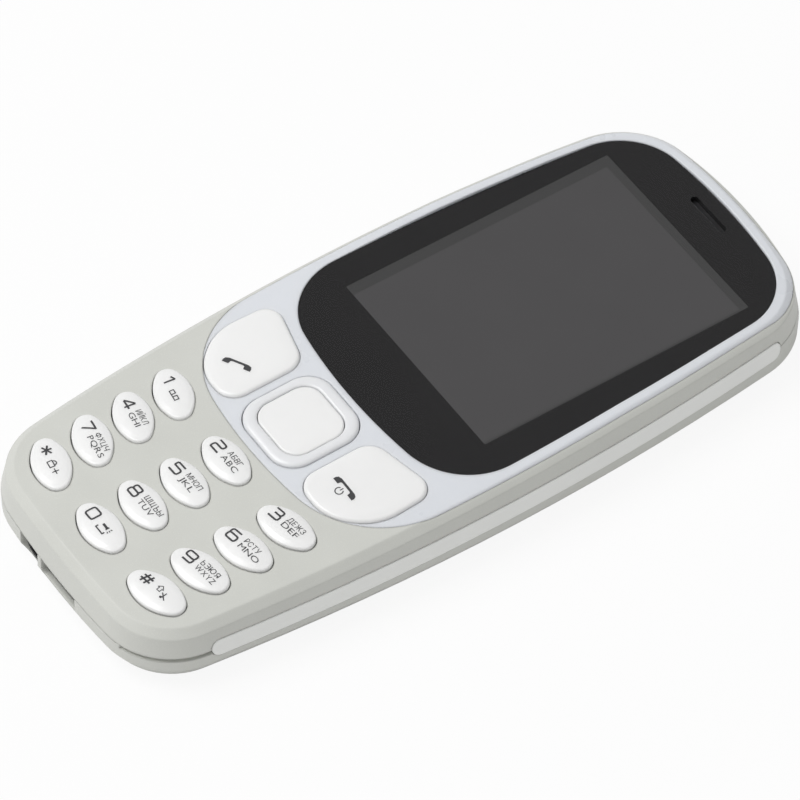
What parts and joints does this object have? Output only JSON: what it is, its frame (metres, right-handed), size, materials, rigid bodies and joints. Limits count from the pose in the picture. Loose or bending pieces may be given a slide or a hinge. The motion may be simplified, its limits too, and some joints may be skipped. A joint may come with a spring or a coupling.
{
  "type": "feature phone",
  "caption": "Bar-shaped feature phone with a crowned front, oval digit keys, a ringed centre key, a dark display window and a lift-off rear cover.",
  "frame": {"origin": "centre of the phone's footprint, on the surface that it lies on with its front face up", "axes": "+Z out of the front face, +Y towards the earpiece end, +X towards the right-hand side seen from the front"},
  "size_m": [0.0562, 0.1273, 0.0146],
  "materials": {
    "shell_grey": "satin pearl grey",
    "cover_grey": "satin pearl grey",
    "panel_white": "smooth",
    "strip_white": "smooth",
    "lens_dark": "polished",
    "key_white": "satin",
    "ring_white": "satin",
    "silicone": "matt",
    "foam": "matt",
    "frame_plastic": "moulded",
    "board_green": "solder resist",
    "can_steel": "pressed",
    "socket_steel": "pressed",
    "screw_steel": "plated",
    "dome_steel": "film",
    "display_steel": "pressed",
    "display_dark": "polarised",
    "speaker_black": "moulded",
    "mesh_steel": "etched",
    "motor_steel": "plated",
    "microphone_metal": "plated",
    "camera_black": "moulded",
    "trim_chrome": "bright",
    "window_clear": "polished",
    "torch_clear": "polished",
    "lamp_yellow": "moulded",
    "antenna_plastic": "moulded",
    "jack_black": "moulded",
    "connector_black": "moulded",
    "contact_brass": "plated",
    "battery_wrap": "wrapped"
  },
  "bodies": {
    "cover": {"rear_cover": "cover_grey", "camera_ring": "trim_chrome", "camera_window": "window_clear", "torch_lens": "torch_clear"},
    "chassis": {"front_housing": "shell_grey", "front_panel": "panel_white", "display_lens": "lens_dark", "side_strip_left": "strip_white", "side_strip_right": "strip_white", "display_gasket": "foam", "display_frame": "display_steel", "display_glass": "display_dark", "mid_frame": "frame_plastic", "frame_screws": "screw_steel", "main_board": "board_green", "radio_can": "can_steel", "processor_can": "can_steel", "key_mat": "silicone", "dome_sheet": "dome_steel", "earpiece_receiver": "speaker_black", "earpiece_mesh": "mesh_steel", "loudspeaker": "speaker_black", "microphone": "microphone_metal", "vibration_motor": "motor_steel", "antenna": "antenna_plastic", "camera_module": "camera_black", "torch_lamp": "lamp_yellow", "usb_socket": "socket_steel", "headphone_jack": "jack_black", "sim_holder_left": "socket_steel", "sim_holder_right": "socket_steel", "memory_card_holder": "socket_steel", "battery_connector": "connector_black", "connector_blades": "contact_brass"},
    "battery_pack": {"battery": "battery_wrap", "battery_contacts": "contact_brass"},
    "key_1_body": {"key_1": "key_white"},
    "key_2_body": {"key_2": "key_white"},
    "key_3_body": {"key_3": "key_white"},
    "key_4_body": {"key_4": "key_white"},
    "key_5_body": {"key_5": "key_white"},
    "key_6_body": {"key_6": "key_white"},
    "key_7_body": {"key_7": "key_white"},
    "key_8_body": {"key_8": "key_white"},
    "key_9_body": {"key_9": "key_white"},
    "key_star_body": {"key_star": "key_white"},
    "key_0_body": {"key_0": "key_white"},
    "key_hash_body": {"key_hash": "key_white"},
    "call_key_body": {"call_key": "key_white"},
    "end_key_body": {"end_key": "key_white"},
    "centre_key_body": {"centre_key": "ring_white"},
    "rocker_pad_body": {"rocker_pad": "silicone"},
    "direction_ring_body": {"direction_ring": "ring_white"}
  },
  "joints": [
    {"name": "cover_release", "type": "slide", "parent": "cover", "child": "chassis", "axis": [0, 0, 1], "range_m": [0, 0.025]},
    {"name": "battery_release", "type": "slide", "parent": "chassis", "child": "battery_pack", "axis": [0, 0, -1], "range_m": [0, 0.009]},
    {"name": "key_1_press", "type": "slide", "parent": "chassis", "child": "key_1_body", "axis": [0, 0, -1], "range_m": [0, 0.00035], "stiffness_N_per_m": 1500, "springref_m": -0.0003},
    {"name": "key_2_press", "type": "slide", "parent": "chassis", "child": "key_2_body", "axis": [0, 0, -1], "range_m": [0, 0.00035], "stiffness_N_per_m": 1500, "springref_m": -0.0003},
    {"name": "key_3_press", "type": "slide", "parent": "chassis", "child": "key_3_body", "axis": [0, 0, -1], "range_m": [0, 0.00035], "stiffness_N_per_m": 1500, "springref_m": -0.0003},
    {"name": "key_4_press", "type": "slide", "parent": "chassis", "child": "key_4_body", "axis": [0, 0, -1], "range_m": [0, 0.00035], "stiffness_N_per_m": 1500, "springref_m": -0.0003},
    {"name": "key_5_press", "type": "slide", "parent": "chassis", "child": "key_5_body", "axis": [0, 0, -1], "range_m": [0, 0.00035], "stiffness_N_per_m": 1500, "springref_m": -0.0003},
    {"name": "key_6_press", "type": "slide", "parent": "chassis", "child": "key_6_body", "axis": [0, 0, -1], "range_m": [0, 0.00035], "stiffness_N_per_m": 1500, "springref_m": -0.0003},
    {"name": "key_7_press", "type": "slide", "parent": "chassis", "child": "key_7_body", "axis": [0, 0, -1], "range_m": [0, 0.00035], "stiffness_N_per_m": 1500, "springref_m": -0.0003},
    {"name": "key_8_press", "type": "slide", "parent": "chassis", "child": "key_8_body", "axis": [0, 0, -1], "range_m": [0, 0.00035], "stiffness_N_per_m": 1500, "springref_m": -0.0003},
    {"name": "key_9_press", "type": "slide", "parent": "chassis", "child": "key_9_body", "axis": [0, 0, -1], "range_m": [0, 0.00035], "stiffness_N_per_m": 1500, "springref_m": -0.0003},
    {"name": "key_star_press", "type": "slide", "parent": "chassis", "child": "key_star_body", "axis": [0, 0, -1], "range_m": [0, 0.00035], "stiffness_N_per_m": 1500, "springref_m": -0.0003},
    {"name": "key_0_press", "type": "slide", "parent": "chassis", "child": "key_0_body", "axis": [0, 0, -1], "range_m": [0, 0.00035], "stiffness_N_per_m": 1500, "springref_m": -0.0003},
    {"name": "key_hash_press", "type": "slide", "parent": "chassis", "child": "key_hash_body", "axis": [0, 0, -1], "range_m": [0, 0.00035], "stiffness_N_per_m": 1500, "springref_m": -0.0003},
    {"name": "call_key_press", "type": "slide", "parent": "chassis", "child": "call_key_body", "axis": [0, 0, -1], "range_m": [0, 0.00035], "stiffness_N_per_m": 1500, "springref_m": -0.0003},
    {"name": "end_key_press", "type": "slide", "parent": "chassis", "child": "end_key_body", "axis": [0, 0, -1], "range_m": [0, 0.00035], "stiffness_N_per_m": 1500, "springref_m": -0.0003},
    {"name": "centre_key_press", "type": "slide", "parent": "chassis", "child": "centre_key_body", "axis": [0, 0, -1], "range_m": [0, 0.00035], "stiffness_N_per_m": 1500, "springref_m": -0.0003},
    {"name": "rocker_up_down", "type": "hinge", "parent": "chassis", "child": "rocker_pad_body", "pos_m": [0, -0.0196, 0.0108], "axis": [1, 0, 0], "range_deg": [-2, 2], "stiffness_Nm_per_rad": 0.28},
    {"name": "rocker_left_right", "type": "hinge", "parent": "rocker_pad_body", "child": "direction_ring_body", "pos_m": [0, -0.0196, 0.0108], "axis": [0, 1, 0], "range_deg": [-2, 2], "stiffness_Nm_per_rad": 0.28}
  ],
  "couplings": [
    {"joint": "battery_release", "follows": "cover_release", "ratio": 0.3}
  ]
}
